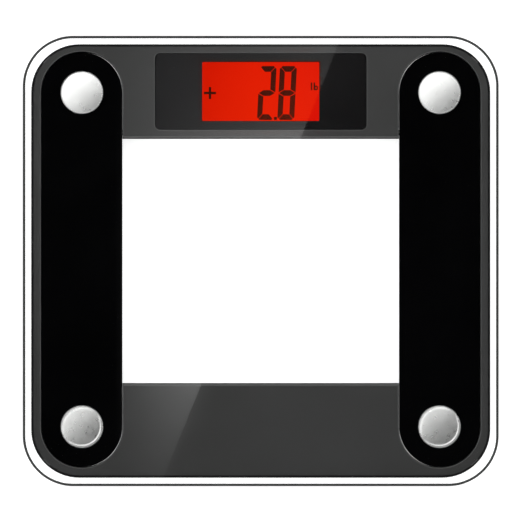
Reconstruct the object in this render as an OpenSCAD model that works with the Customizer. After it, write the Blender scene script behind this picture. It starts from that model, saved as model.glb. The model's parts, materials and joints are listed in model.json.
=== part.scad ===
// Digital bathroom scale: a tempered glass platform bonded to a moulded frame and two sensor rails.
// Origin: on the floor, under the middle of the platform. +X right, +Y towards the display, +Z up. Millimetres.

/* [Glass platform] */
// Width of the glass, left to right
glass_w = 317; // [310:1:400]
// Depth of the glass, from the near edge to the display edge
glass_d = 300; // [280:1:380]
// Thickness of the glass
glass_t = 6; // [4:0.5:10]
// Corner radius of the glass
glass_r = 33.5; // [20:0.5:45]
// Width of the bevel ground on both rims of the glass
glass_bevel = 1.2; // [0.4:0.1:1.9]

/* [Heights] */
// Gap between the floor and the housings
floor_gap = 4.4; // [3.5:0.1:7]
// Height of the housings under the glass
body_h = 13.45; // [13.4:0.05:20]
// Adhesive film between the housings and the glass
bond_t = 0.15; // [0.1:0.05:0.5]

/* [Frame] */
// Clear glass left all round the frame
frame_margin = 5.5; // [3:0.5:12]
// Corner radius of the frame
frame_r = 32; // [28:0.5:40]
// Depth of the front and rear bars
bar_d = 63; // [60:1:80]
// Width of the strip outside each rail
side_strip = 7; // [5.8:0.1:10]
// Wall thickness of the mouldings
wall = 1.8; // [1.4:0.1:2.4]
// Top wall of the frame
top_t = 2.4; // [2:0.1:3]
// Thickness of the bottom covers
cover_t = 2; // [1.6:0.1:2]
// Clearance between mouldings that fit together
fit = 0.25; // [0.1:0.05:0.5]
// Bevel along the frame's top edges
frame_bevel = 0.8; // [0.3:0.1:1]

/* [Sensor rails] */
// Width of a rail
rail_w = 53.6; // [51:0.2:58]
// Distance from the frame's rear edge to the end of a rail
rail_rear_gap = 5.4; // [4:0.1:10]
// Distance from the frame's front edge to the end of a rail
rail_front_gap = 7.2; // [4:0.1:12]
// Diameter of the steel cap over a sensor
cap_d = 28.8; // [20:0.2:38]
// Thickness of the steel cap
cap_t = 1.2; // [0.8:0.1:1.4]

/* [Sensors and feet] */
// Width of a load cell
cell_w = 36; // [32:0.5:38]
// Length of a load cell
cell_l = 34; // [30:0.5:36]
// Thickness of a load cell's steel
cell_t = 2; // [1.5:0.1:2.4]
// Upward travel of a foot at full load
foot_travel = 0.5; // [0.3:0.1:1]
// Diameter of a foot below the cover
foot_d = 35.2; // [28:0.2:44]
// Diameter of a rubber pad
pad_d = 30; // [22:0.5:32]
// Thickness of a rubber pad
pad_t = 2.4; // [1.8:0.1:3]
// Thickness of the silicone buffer between foot and load cell
buffer_t = 1.6; // [1.2:0.1:2.2]

/* [Display] */
// Width of the dark bezel
bezel_w = 140; // [120:1:150]
// Depth of the dark bezel
bezel_d = 50; // [49.5:0.5:52]
// Thickness of the dark bezel
bezel_t = 1.2; // [0.8:0.1:1.2]
// Width of the clear window in the bezel
view_w = 78; // [70:0.5:80]
// Depth of the clear window in the bezel
view_d = 39.2; // [34:0.2:41]
// Width of the display's upper glass
lcd_w = 84; // [82:0.5:85]
// Depth of the display's upper glass
lcd_d = 45; // [43:0.5:46]
// Thickness of the light guide behind the display
guide_t = 3; // [2:0.1:3]

/* [Electronics and battery] */
// Width of the circuit board
board_w = 100; // [100:1:104]
// Thickness of the circuit board
board_t = 1.6; // [1:0.1:1.6]
// Travel of the unit button
button_travel = 0.3; // [0.2:0.05:0.4]
// Diameter of a coin cell
coin_d = 20; // [16:0.5:24]
// Thickness of a coin cell
coin_t = 3.2; // [1.6:0.1:3.2]

/* [Hidden] */
$fn = 96;
EPS = 0.01;

// ---- heights
z_base = floor_gap;
z_top = z_base + body_h;
z_glass = z_top + bond_t;
z_roof = z_top - top_t;
z_floor = z_base + cover_t;

// ---- plan of the frame and rails
frame_w = glass_w - 2 * frame_margin;
frame_d = glass_d - 2 * frame_margin;
window_d = frame_d - 2 * bar_d;
bar_y = (frame_d - bar_d) / 2;
rail_x = frame_w / 2 - side_strip - rail_w / 2;
sensor_rear_y = frame_d / 2 - rail_rear_gap - rail_w / 2;
sensor_front_y = -frame_d / 2 + rail_front_gap + rail_w / 2;
pocket_w = rail_w + 2 * fit;
bay_half_w = rail_x - pocket_w / 2 - wall;
bay_inner_y = window_d / 2 + wall;
bay_outer_y = frame_d / 2 - wall;
bay_reach_x = rail_x - rail_w / 4;
rail_bevel = 0.5;

// ---- screws
screw_r = 1.2;
screw_head_r = 2.5;
screw_head_h = 1.1;
screw_clear = 0.3;
pilot_r = screw_r + 0.05;
post_r = 3.2;
cover_screw_l = 8;
sink_depth = screw_head_h + 0.1;

// ---- sensor stack, upwards from the floor
pad_sunk = 1;
pad_gap = 0.1;
foot_r = foot_d / 2;
foot_hole_r = foot_r + 0.6;
flange_r = foot_hole_r + 1.8;
flange_t = 1.4;
flange_z = z_floor + 0.3;
boss_r = 5;
cell_z = z_top - 4.05 - cell_t;
buffer_z = cell_z - buffer_t;
buffer_r = 4.5;
gauge_t = 1.6;
gauge_y = [-cell_l / 2 + 5, 9];
tongue_w = 13;
slot_w = 2;
tongue_l = 19;
cell_post_x = cell_w / 2 - 4.8;
cell_post_y = [-cell_l / 2 + 6, cell_l / 2 - 6.5];
cell_screw_l = cell_t + 1.6;
cap_seat = cap_t + 0.05;
rail_top_t = 2;

// ---- wiring
lead_r = 0.9;
lead_z = z_floor + 1.6;
lead_top_z = cell_z + cell_t + lead_r + 0.05;
lead_side_x = 10;
lead_drop = flange_r + lead_r + 0.6;
lead_y = [bay_inner_y + lead_r + 0.4, bay_inner_y + 3 * lead_r + 0.8];
notch_d = 4 * lead_r + 1.6;
plug_x = [38, 30.5];
plug_size = [6, 5, 2.8];
plug_y = bar_y - 18.5;
plug_run = 1.5;

// ---- display stack, downwards from the glass
bezel_r = 3;
lcd_glass_t = 1.2;
polariser_t = 0.2;
polariser_z = z_top - bezel_t - 0.05 - polariser_t;
lcd_upper_z = polariser_z - lcd_glass_t;
lcd_lower_z = lcd_upper_z - lcd_glass_t;
lcd_lower_d = lcd_d - 5;
guide_z = lcd_lower_z - guide_t;
board_z = guide_z - board_t;
board_d = bezel_d;
plug_z = board_z - plug_size[2] / 2;
battery_plug = [5, 7, plug_size[2]];
battery_plug_x = board_w / 2 - 2.2;
battery_lead_r = 0.6;
battery_plug_run = 1;
led_size = [1.6, 3.2, 2];
holder_wall = 1.6;
holder_w = lcd_w + 2 * (fit + holder_wall);
holder_d = lcd_d + 2 * (fit + holder_wall);
ear_r = 3.4;
ear_x = holder_w / 2 + 2;
ear_y = 18;
ear_t = 1.6;
board_screw_l = board_t + ear_t + 2.4;

// ---- unit button
button_pos = [-28, bar_y];
button_r = 4;
button_hole_r = button_r + 0.3;
button_flange_r = button_hole_r + 0.9;
button_recess = 0.6;
button_flange_z = z_floor + 0.2;
button_flange_t = 0.6;
plunger_r = 1.6;
switch_body_t = 1.5;
switch_size = 6;

// ---- battery compartment
tray_wall = 1.4;
coin_pitch = coin_d + 1.2;
tray_w = coin_d + 3.2 + 2 * tray_wall;
tray_d = 2 * coin_d + 3 + 2 * tray_wall;
tray_x = board_w / 2 + 1 + tray_w / 2;
tray_y = bay_outer_y - 0.6 - tray_d / 2;
tray_h = 5.2;
tray_roof_t = 1.2;
battery_lead_y = [-1.3, 1.3];
coin_z = z_floor + 0.3;
contact_t = 0.3;
door_w = tray_w - 2 * tray_wall - 1.2;
door_d = tray_d - 2 * tray_wall - 1.2;
door_gap = 0.3;
door_t = 1.6;
door_bar_r = 1;
door_pin_r = 0.5;
door_pin_l = 1.2;
door_rear_y = tray_y + door_d / 2;
door_axis_y = door_rear_y - door_bar_r;
door_axis_z = z_base + door_bar_r;

// ---- where the screws go
bay_post_x = bay_half_w - post_r - 1.6;
bay_posts = [
    for (x = [-1, 1], y = [bay_inner_y + 9.5, bay_outer_y - post_r - 1.6]) [x * bay_post_x, y],
    for (y = [bay_inner_y + 9.5, bay_outer_y - post_r - 1.6]) [-(board_w / 2 + post_r + 3), y]
];
front_posts = [
    for (x = [-1, 0, 1], y = [bay_inner_y + post_r + 1.6, bay_outer_y - post_r - 1.6]) [x * bay_post_x, -y]
];
rail_post_span = (sensor_rear_y - sensor_front_y) / 2 - 34;
rail_post_mid = (sensor_rear_y + sensor_front_y) / 2;
rail_posts = [for (k = [-1, -1 / 3, 1 / 3, 1]) [0, rail_post_mid + k * rail_post_span]];

// ---- shared shapes

// Section of a plate's edge: r out from the inside, h high, bevelled at the top and at the base
function edge_section(r, h, top, base) =
    [[0, 0], [r - base, 0], [r, base], [r, h - top], [r - top, h], [0, h]];

// Rounded rectangular plate centred on the origin, standing on z = 0, with true arcs and bevels
module plate(w, d, r, h, top = 0, base = 0) {
    section = edge_section(r, h, top, base);
    translate([-w / 2 + r, -d / 2 + r, 0]) cube([w - 2 * r, d - 2 * r, h]);
    for (q = [0:3]) {
        along = q % 2 == 0 ? d : w;
        across = q % 2 == 0 ? w : d;
        rotate(90 * q) {
            translate([across / 2 - r, along / 2 - r, 0]) rotate_extrude(angle = 90) polygon(section);
            translate([across / 2 - r, along / 2 - r, 0]) rotate([90, 0, 0])
                linear_extrude(along - 2 * r) polygon(section);
        }
    }
}

// Round-ended bar from y0 to y1 (the centres of its ends), standing on z = 0
module capsule(w, y0, y1, h, top = 0, base = 0) {
    section = edge_section(w / 2, h, top, base);
    translate([0, y1, 0]) rotate_extrude(angle = 180) polygon(section);
    translate([0, y0, 0]) rotate(180) rotate_extrude(angle = 180) polygon(section);
    translate([0, y1, 0]) rotate([90, 0, 0]) linear_extrude(y1 - y0) polygon(section);
    translate([0, y0, 0]) rotate(180) rotate([90, 0, 0]) linear_extrude(y1 - y0) polygon(section);
}

// Pan-head screw that points up, its head's underside bearing face at z = 0
module screw(length, r = screw_r, head_r = screw_head_r, head_h = screw_head_h) {
    slot = [head_r * 1.1, head_r * 0.28];
    difference() {
        union() {
            cylinder(r = r, h = length);
            translate([0, 0, -head_h]) cylinder(r1 = head_r * 0.82, r2 = head_r, h = head_h);
        }
        for (a = [0, 90]) rotate(a) translate([-slot[0] / 2, -slot[1] / 2, -head_h - EPS])
            cube([slot[0], slot[1], head_h * 0.6]);
    }
}

// Hole for a cover screw, from the outer face of a cover at z = 0 upwards
module screw_hole(t) {
    translate([0, 0, -EPS]) cylinder(r = screw_r + screw_clear, h = t + 2 * EPS);
    translate([0, 0, -EPS]) cylinder(r = screw_head_r + screw_clear, h = sink_depth + EPS);
}

module at_each(points) {
    for (p = points) translate([p[0], p[1], 0]) children();
}

// A wire through points, round at its corners
module wire(points, r) {
    for (i = [0:len(points) - 2]) {
        d = points[i + 1] - points[i];
        translate(points[i])
            rotate([0, acos(d[2] / norm(d)), atan2(d[1], d[0])])
                cylinder(r = r, h = norm(d), $fn = 24);
    }
    for (i = [1:1:len(points) - 2]) {
        bend = norm(cross(points[i] - points[i - 1], points[i + 1] - points[i]));
        if (bend > EPS) translate(points[i]) sphere(r = r * 1.04, $fn = 24);
    }
}

// Plan of a bay in the rear bar (end = 1) or the front bar (end = -1), shrunk all round by inset
module bay_space(end, h, inset = 0) {
    y0 = bay_inner_y + inset;
    y1 = bay_outer_y - inset;
    reach = bay_reach_x - inset;
    difference() {
        translate([-reach, end > 0 ? y0 : -y1, 0]) cube([2 * reach, y1 - y0, h]);
        for (side = [-1, 1]) translate([side * rail_x, 0, -1])
            capsule(pocket_w + 2 * (wall + inset), sensor_front_y, sensor_rear_y, h + 2);
    }
}

// ---- glass
module glass_platform() {
    color([0.8, 0.86, 0.85, 0.4]) translate([0, 0, z_glass])
        plate(glass_w, glass_d, glass_r, glass_t, glass_bevel, glass_bevel);
}

// ---- frame
module frame() {
    color([0.24, 0.24, 0.24]) difference() {
        union() {
            frame_shell();
            translate([0, 0, z_floor]) at_each(concat(bay_posts, front_posts))
                cylinder(r = post_r, h = z_roof - z_floor + EPS);
            translate([0, bar_y, guide_z + ear_t]) holder_posts(z_roof - guide_z - ear_t + EPS);
        }
        translate([0, 0, z_floor - EPS]) at_each(concat(bay_posts, front_posts))
            cylinder(r = pilot_r, h = cover_screw_l - cover_t + 0.9);
        translate([0, bar_y, guide_z + ear_t - EPS]) for (x = [-ear_x, ear_x], y = [-ear_y, ear_y])
            translate([x, y, 0]) cylinder(r = pilot_r, h = z_roof - guide_z - ear_t + 0.4);
        for (side = [-1, 1]) lead_notch(side, bay_half_w - 1, wall + 2);
    }
}

module frame_shell() {
    difference() {
        translate([0, 0, z_base]) plate(frame_w, frame_d, frame_r, body_h, frame_bevel, 0.4);
        translate([-rail_x, -window_d / 2, z_base - 1]) cube([2 * rail_x, window_d, body_h + 2]);
        window_bevels();
        for (side = [-1, 1]) translate([side * rail_x, 0, z_base - 1])
            capsule(pocket_w, sensor_front_y, sensor_rear_y, body_h + 2);
        for (end = [-1, 1]) translate([0, 0, z_base - 1]) bay_space(end, z_roof - z_base + 1);
        for (side = [-1, 1]) side_core(side);
        translate([0, bar_y, z_top - bezel_t - 0.05])
            plate(bezel_w + 2 * fit, bezel_d + 2 * fit, bezel_r + fit, bezel_t + 1);
        translate([-lcd_w / 2 - fit, bar_y - lcd_d / 2 - fit, z_roof - 1])
            cube([lcd_w + 2 * fit, lcd_d + 2 * fit, top_t + 2]);
    }
}

// Bevels along the straight edges of the frame that face the window
module window_bevels() {
    for (end = [-1, 1]) translate([-rail_x, end * window_d / 2, z_top]) rotate([45, 0, 0])
        translate([0, -frame_bevel / sqrt(2), -frame_bevel / sqrt(2)])
            cube([2 * rail_x, frame_bevel * sqrt(2), frame_bevel * sqrt(2)]);
}

// Groove that cores out the strip outside a rail
module side_core(side) {
    core_w = side_strip - fit - 2 * wall;
    translate([side * (frame_w / 2 - wall - core_w / 2) - core_w / 2, -window_d / 2, z_base - 1])
        cube([core_w, window_d, z_roof - z_base + 1]);
}

// Opening that lets the sensor leads out of a rail and into the rear bay
module lead_notch(side, x, depth) {
    x0 = side > 0 ? x : -x - depth;
    translate([x0, bay_inner_y, z_base - 1]) cube([depth, notch_d, lead_z + lead_r + 1 - z_base + 0.6]);
}

module holder_posts(h) {
    for (x = [-ear_x, ear_x], y = [-ear_y, ear_y]) translate([x, y, 0]) cylinder(r = post_r, h = h);
}

// ---- sensor rails
module rail(side) {
    color([0.05, 0.05, 0.05]) translate([side * rail_x, 0, 0]) difference() {
        union() {
            rail_shell();
            translate([0, 0, z_floor]) at_each(rail_posts)
                cylinder(r = post_r, h = z_top - rail_top_t - z_floor + EPS);
            at_sensors() translate([0, 0, cell_z + cell_t]) cell_posts(z_top - rail_top_t - cell_z - cell_t + EPS);
        }
        at_sensors() translate([0, 0, z_top - cap_seat]) cylinder(d = cap_d + fit, h = cap_seat + 1);
        translate([0, 0, z_floor - EPS]) at_each(rail_posts)
            cylinder(r = pilot_r, h = cover_screw_l - cover_t + 0.9);
        at_sensors() translate([0, 0, cell_z + cell_t - EPS]) cell_pilots();
        translate([-side * rail_x, 0, 0]) lead_notch(side, bay_half_w + wall, wall + 2 * fit + 1);
    }
}

module rail_shell() {
    difference() {
        translate([0, 0, z_base]) capsule(rail_w, sensor_front_y, sensor_rear_y, body_h, rail_bevel, 0.3);
        translate([0, 0, z_base - 1])
            capsule(rail_w - 2 * wall, sensor_front_y, sensor_rear_y, body_h - rail_top_t + 1);
    }
}

// Places its children at both ends of a rail; the cell's root always points to the middle of the rail
module at_sensors() {
    translate([0, sensor_rear_y, 0]) children();
    translate([0, sensor_front_y, 0]) rotate(180) children();
}

module cell_posts(h) {
    for (x = [-cell_post_x, cell_post_x], y = cell_post_y) translate([x, y, 0]) cylinder(r = 2.6, h = h);
}

module cell_pilots() {
    for (x = [-cell_post_x, cell_post_x]) translate([x, cell_post_y[1], 0])
        cylinder(r = pilot_r, h = cell_screw_l - cell_t + 0.3);
}

module rail_cover(side) {
    color([0.08, 0.08, 0.08]) translate([side * rail_x, 0, z_base]) difference() {
        capsule(rail_w - 2 * wall - 2 * fit, sensor_front_y, sensor_rear_y, cover_t, 0, 0.3);
        at_sensors() translate([0, 0, -1]) cylinder(r = foot_hole_r, h = cover_t + 2);
        at_each(rail_posts) screw_hole(cover_t);
    }
}

// ---- sensors
module at_corner(end, side) {
    translate([side * rail_x, end > 0 ? sensor_rear_y : sensor_front_y, 0]) rotate(end > 0 ? 0 : 180)
        children();
}

module sensor_cap(end, side) {
    rim = 0.7;
    color([0.78, 0.78, 0.76]) at_corner(end, side) translate([0, 0, z_top - cap_t])
        rotate_extrude() polygon([[0, 0], [cap_d / 2, 0], [cap_d / 2, cap_t - rim], [cap_d / 2 - rim, cap_t], [0, cap_t]]);
}

module load_cell(end, side) {
    slot_y = -cell_l / 2 + 9;
    slot_x = tongue_w / 2 + slot_w / 2;
    color([0.6, 0.61, 0.63]) at_corner(end, side) translate([0, 0, cell_z]) difference() {
        plate(cell_w, cell_l, 4, cell_t);
        for (x = [-slot_x, slot_x]) translate([x - slot_w / 2, slot_y, -1]) cube([slot_w, tongue_l, cell_t + 2]);
        translate([-slot_x - slot_w / 2, slot_y + tongue_l - slot_w, -1])
            cube([2 * slot_x + slot_w, slot_w, cell_t + 2]);
        for (x = [-cell_post_x, cell_post_x]) translate([x, cell_post_y[1], -1])
            cylinder(r = screw_r + screw_clear, h = cell_t + 2);
    }
}

module strain_gauges() {
    color("whitesmoke") for (end = [-1, 1], side = [-1, 1]) at_corner(end, side)
        translate([-tongue_w / 2 + 1, gauge_y[0], cell_z + cell_t]) cube([tongue_w - 2, gauge_y[1], gauge_t]);
}

// Lead from a strain gauge, along the rail and through the notch, to its plug on the board
module sensor_lead(end, side) {
    sensor_y = end > 0 ? sensor_rear_y : sensor_front_y;
    gauge_end = sensor_y + end * gauge_y[0];
    drop_y = sensor_y - end * lead_drop;
    exit_y = end > 0 ? lead_y[1] : lead_y[0];
    plug = end > 0 ? plug_x[0] : plug_x[1];
    route = [
        [rail_x, gauge_end, lead_top_z],
        [rail_x, drop_y, lead_top_z],
        [rail_x, drop_y, lead_z],
        [rail_x - lead_side_x, drop_y, lead_z],
        [rail_x - lead_side_x, exit_y, lead_z],
        [plug, exit_y, lead_z],
        [plug, plug_y - plug_size[1] / 2 - plug_run, plug_z],
        [plug, plug_y - plug_size[1] / 2, plug_z]
    ];
    color([0.15, 0.15, 0.16]) wire([for (p = route) [side * p[0], p[1], p[2]]], lead_r);
}

module buffer(end, side) {
    color([0.85, 0.85, 0.82]) at_corner(end, side) translate([0, 0, buffer_z])
        cylinder(r = buffer_r, h = buffer_t);
}

module foot(end, side) {
    foot_z = pad_t - pad_sunk;
    recess_r = pad_d / 2 + pad_gap;
    hollow_z = pad_t + 1.8;
    color([0.1, 0.1, 0.1]) at_corner(end, side) rotate_extrude() polygon([
        [0, pad_t], [recess_r, pad_t], [recess_r, foot_z], [foot_r - 0.6, foot_z], [foot_r, foot_z + 0.6],
        [foot_r, flange_z], [flange_r, flange_z], [flange_r, flange_z + flange_t],
        [foot_r - 2, flange_z + flange_t], [foot_r - 2, hollow_z], [boss_r + 1.5, hollow_z],
        [boss_r, hollow_z + 1.5], [boss_r, buffer_z], [0, buffer_z]
    ]);
}

module foot_pad(end, side) {
    r = pad_d / 2;
    groove = 0.5;
    color([0.2, 0.2, 0.2]) at_corner(end, side) difference() {
        rotate_extrude() polygon([[0, 0], [r - 0.5, 0], [r, 0.5], [r, pad_t], [0, pad_t]]);
        for (g = [0.45, 0.72]) translate([0, 0, -EPS]) difference() {
            cylinder(r = r * g + 0.7, h = groove);
            translate([0, 0, -1]) cylinder(r = r * g - 0.7, h = groove + 2);
        }
    }
}

// ---- display
module display_bezel() {
    color([0.02, 0.02, 0.02]) translate([0, bar_y, z_top - bezel_t]) difference() {
        plate(bezel_w, bezel_d, bezel_r, bezel_t);
        translate([0, 0, -1]) plate(view_w, view_d, 0.8, bezel_t + 2);
    }
}

module lcd_glass() {
    color([0.75, 0.8, 0.78]) {
        translate([-lcd_w / 2, bar_y - lcd_d / 2, lcd_upper_z]) cube([lcd_w, lcd_d, lcd_glass_t]);
        translate([-lcd_w / 2, bar_y - lcd_lower_d / 2, lcd_lower_z]) cube([lcd_w, lcd_lower_d, lcd_glass_t]);
    }
}

module lcd_polariser() {
    color([0.9, 0.12, 0.03]) translate([-view_w / 2 - 0.7, bar_y - view_d / 2 - 0.7, polariser_z])
        cube([view_w + 1.4, view_d + 1.4, polariser_t]);
}

module light_guide() {
    color([0.95, 0.4, 0.35]) translate([-lcd_w / 2 + 4, bar_y - lcd_lower_d / 2 + 0.2, guide_z])
        cube([lcd_w - 4, lcd_lower_d - 0.4, guide_t]);
}

module backlight_leds() {
    color([1, 0.9, 0.85]) for (y = [-12, 0, 12])
        translate([-lcd_w / 2 + 4 - 0.2 - led_size[0], bar_y + y - led_size[1] / 2, guide_z]) cube(led_size);
}

module zebra_strips() {
    strip = (lcd_d - lcd_lower_d) / 2 - 0.5;
    color([0.25, 0.2, 0.22]) for (end = [-1, 1])
        translate([-lcd_w / 2 + 3, bar_y + end * (lcd_d / 2 - strip / 2 - 0.1) - strip / 2, guide_z])
            cube([lcd_w - 6, strip, lcd_upper_z - guide_z]);
}

module lcd_holder() {
    height = z_roof - 0.05 - guide_z;
    color("white") translate([0, bar_y, guide_z]) difference() {
        union() {
            plate(holder_w, holder_d, 2, height);
            for (x = [-1, 1], y = [-ear_y, ear_y]) {
                translate([x * ear_x, y, 0]) cylinder(r = ear_r, h = ear_t);
                translate([x > 0 ? ear_x - 3 : -ear_x, y - ear_r, 0]) cube([3, 2 * ear_r, ear_t]);
            }
        }
        translate([-lcd_w / 2 - fit, -lcd_d / 2 - fit, -1]) cube([lcd_w + 2 * fit, lcd_d + 2 * fit, height + 2]);
        for (x = [-ear_x, ear_x], y = [-ear_y, ear_y]) translate([x, y, 0]) {
            translate([0, 0, -1]) cylinder(r = screw_r + screw_clear, h = ear_t + 2);
            translate([0, 0, ear_t]) cylinder(r = post_r + fit, h = height);
        }
    }
}

// ---- electronics
module main_board() {
    color([0.05, 0.35, 0.2]) translate([0, bar_y, board_z]) difference() {
        plate(board_w, board_d, 1.5, board_t);
        for (x = [-ear_x, ear_x], y = [-ear_y, ear_y]) translate([x, y, -1])
            cylinder(r = screw_r + screw_clear, h = board_t + 2);
    }
}

// Black epoxy drop over the controller
module controller_chip() {
    color([0.08, 0.08, 0.08]) translate([2, bar_y, board_z]) rotate([180, 0, 0])
        rotate_extrude() polygon([[0, 0], [8, 0], [7.4, 0.8], [5.5, 1.5], [0, 1.9]]);
}

module converter_chip() {
    color([0.12, 0.12, 0.12]) {
        translate([20, bar_y - 5, board_z - 1.7]) cube([4, 10, 1.5]);
        for (x = [18.9, 24.05], k = [0:7]) translate([x, bar_y - 4.7 + k * 1.27, board_z - 0.9])
            cube([0.95 + EPS, 0.5, 0.9]);
    }
}

module board_connectors() {
    color("ivory") {
        for (side = [-1, 1], x = plug_x) translate([side * x - plug_size[0] / 2, plug_y - plug_size[1] / 2, board_z])
            mirror([0, 0, 1]) cube(plug_size);
        translate([battery_plug_x - battery_plug[0], bar_y - battery_plug[1] / 2, board_z - battery_plug[2]])
            cube(battery_plug);
    }
}

module board_capacitors() {
    places = [[-14, 12], [-8, 12], [-2, 14], [10, -9], [14, 9], [28, 8], [28, -8], [36, 0]];
    color([0.7, 0.55, 0.35]) at_each([for (p = places) [p[0], bar_y + p[1]]])
        translate([-1, -0.6, board_z - 0.7]) cube([2, 1.2, 0.7]);
}

module crystal() {
    color("silver") translate([-10, bar_y - 9, board_z - 2.4]) plate(11, 4.6, 2.2, 2.4);
}

module unit_switch_body() {
    color([0.15, 0.15, 0.15]) translate([button_pos[0], button_pos[1], board_z - switch_body_t]) difference() {
        translate([-switch_size / 2, -switch_size / 2, 0]) cube([switch_size, switch_size, switch_body_t]);
        translate([0, 0, -1]) cylinder(r = plunger_r + 0.15, h = switch_body_t + 0.6);
    }
}

// The plunger fills the gap between the button's flange and the switch, and slides in its body
module unit_switch_plunger() {
    z0 = button_flange_z + button_flange_t;
    color([0.6, 0.1, 0.1]) translate([button_pos[0], button_pos[1], z0])
        cylinder(r = plunger_r, h = board_z - 0.4 - button_travel - 0.2 - z0);
}

module unit_button() {
    z0 = z_base + button_recess;
    color([0.3, 0.3, 0.3]) translate([button_pos[0], button_pos[1], 0]) {
        translate([0, 0, z0]) cylinder(r1 = button_r - 0.3, r2 = button_r, h = 0.3);
        translate([0, 0, z0 + 0.3]) cylinder(r = button_r, h = button_flange_z - z0 - 0.3);
        translate([0, 0, button_flange_z]) cylinder(r = button_flange_r, h = button_flange_t);
    }
}

// ---- battery
module battery_tray() {
    color([0.2, 0.2, 0.2]) translate([tray_x, tray_y, z_floor]) difference() {
        plate(tray_w, tray_d, 2, tray_h);
        translate([0, 0, -1]) plate(tray_w - 2 * tray_wall, tray_d - 2 * tray_wall, 1, tray_h - tray_roof_t + 1);
        for (y = battery_lead_y) translate([-tray_w / 2 - 1, bar_y - tray_y + y, lead_z - z_floor]) rotate([0, 90, 0])
            cylinder(r = battery_lead_r + 0.2, h = tray_wall + 1.5);
    }
}

module coin_cell(end) {
    lip = 0.3;
    color("silver") translate([tray_x, tray_y + end * coin_pitch / 2, coin_z]) rotate_extrude() polygon([
        [0, 0], [coin_d / 2 - lip, 0], [coin_d / 2, lip], [coin_d / 2, coin_t - 0.8],
        [coin_d / 2 - 1.1, coin_t - 0.6], [coin_d / 2 - 1.5, coin_t], [0, coin_t]
    ]);
}

// A leaf on the tray's roof over each cell, and an upright strip against each cell's rim
module battery_contacts() {
    roof_z = z_floor + tray_h - tray_roof_t;
    coin_top = coin_z + coin_t;
    color([0.8, 0.75, 0.55]) for (end = [-1, 1]) translate([tray_x, tray_y + end * coin_pitch / 2, 0]) {
        translate([-2.5, -7, roof_z - contact_t]) cube([5, 14, contact_t]);
        translate([0, 0, coin_top]) cylinder(r = 1.5, h = roof_z - contact_t - coin_top + EPS);
        translate([coin_d / 2 + 0.02, -3, z_floor + 0.5]) cube([contact_t, 6, 3.2]);
        translate([coin_d / 2 + 0.02, -1, z_floor + 1.5])
            cube([tray_w / 2 - tray_wall - coin_d / 2 - 0.02, 2, 1]);
    }
}

module battery_door() {
    tab = [9, 1.6, 1];
    rib = [10, 0.8, 0.5];
    front_y = tray_y - door_d / 2;
    color([0.24, 0.24, 0.24]) translate([tray_x, 0, 0]) {
        difference() {
            translate([-door_w / 2, front_y, z_base]) cube([door_w, door_axis_y - front_y, door_t]);
            for (k = [0:3]) translate([-rib[0] / 2, front_y + 3 + 1.8 * k, z_base - EPS]) cube(rib);
        }
        translate([-door_w / 2, door_axis_y, door_axis_z]) rotate([0, 90, 0]) cylinder(r = door_bar_r, h = door_w);
        translate([-door_w / 2 - door_pin_l, door_axis_y, door_axis_z]) rotate([0, 90, 0])
            cylinder(r = door_pin_r, h = door_w + 2 * door_pin_l);
        translate([-tab[0] / 2, front_y - tab[1], z_base]) cube([tab[0], tab[1] + EPS, tab[2]]);
    }
}

module battery_leads() {
    tray_edge = tray_x - tray_w / 2;
    color([0.6, 0.08, 0.06]) for (y = battery_lead_y) wire([
        [battery_plug_x, bar_y + y, plug_z],
        [battery_plug_x + battery_plug_run, bar_y + y, plug_z],
        [tray_edge - 0.6, bar_y + y, lead_z],
        [tray_edge + tray_wall + 0.4, bar_y + y, lead_z]
    ], battery_lead_r);
}

// ---- bottom covers
module bay_cover() {
    color([0.22, 0.22, 0.22]) translate([0, 0, z_base]) difference() {
        bay_space(1, cover_t, fit);
        at_each(bay_posts) screw_hole(cover_t);
        translate([button_pos[0], button_pos[1], -1]) cylinder(r = button_hole_r, h = cover_t + 2);
        door_opening();
        label_field();
    }
}

module door_opening() {
    translate([tray_x - door_w / 2 - door_gap, tray_y - door_d / 2 - door_gap, -1])
        cube([door_w + 2 * door_gap, door_d + 2 * door_gap, cover_t + 2]);
    translate([tray_x - door_w / 2 - door_pin_l - 0.2, door_axis_y, door_axis_z - z_base]) rotate([0, 90, 0])
        cylinder(r = door_pin_r + 0.06, h = door_w + 2 * door_pin_l + 0.4);
    translate([tray_x, tray_y - door_d / 2, -EPS]) cylinder(r = 6.5, h = 1.3);
}

// Shallow blank field for a rating label
module label_field() {
    size = [48, 16, 0.3];
    translate([-size[0] / 2 - 8, bar_y + 6, -EPS]) cube([size[0], size[1], size[2] + EPS]);
}

module front_cover() {
    color([0.22, 0.22, 0.22]) translate([0, 0, z_base]) difference() {
        bay_space(-1, cover_t, fit);
        at_each(front_posts) screw_hole(cover_t);
    }
}

// ---- fasteners
module cover_screws(points) {
    color("gainsboro") translate([0, 0, z_base + sink_depth]) at_each(points) screw(cover_screw_l - sink_depth);
}

module cell_screws() {
    color("gainsboro") for (end = [-1, 1], side = [-1, 1]) at_corner(end, side)
        for (x = [-cell_post_x, cell_post_x]) translate([x, cell_post_y[1], cell_z]) screw(cell_screw_l);
}

module board_screws() {
    color("gainsboro") for (x = [-ear_x, ear_x], y = [-ear_y, ear_y])
        translate([x, bar_y + y, board_z]) screw(board_screw_l);
}

rail_screw_points = [for (side = [-1, 1], p = rail_posts) [side * rail_x, p[1]]];

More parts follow.
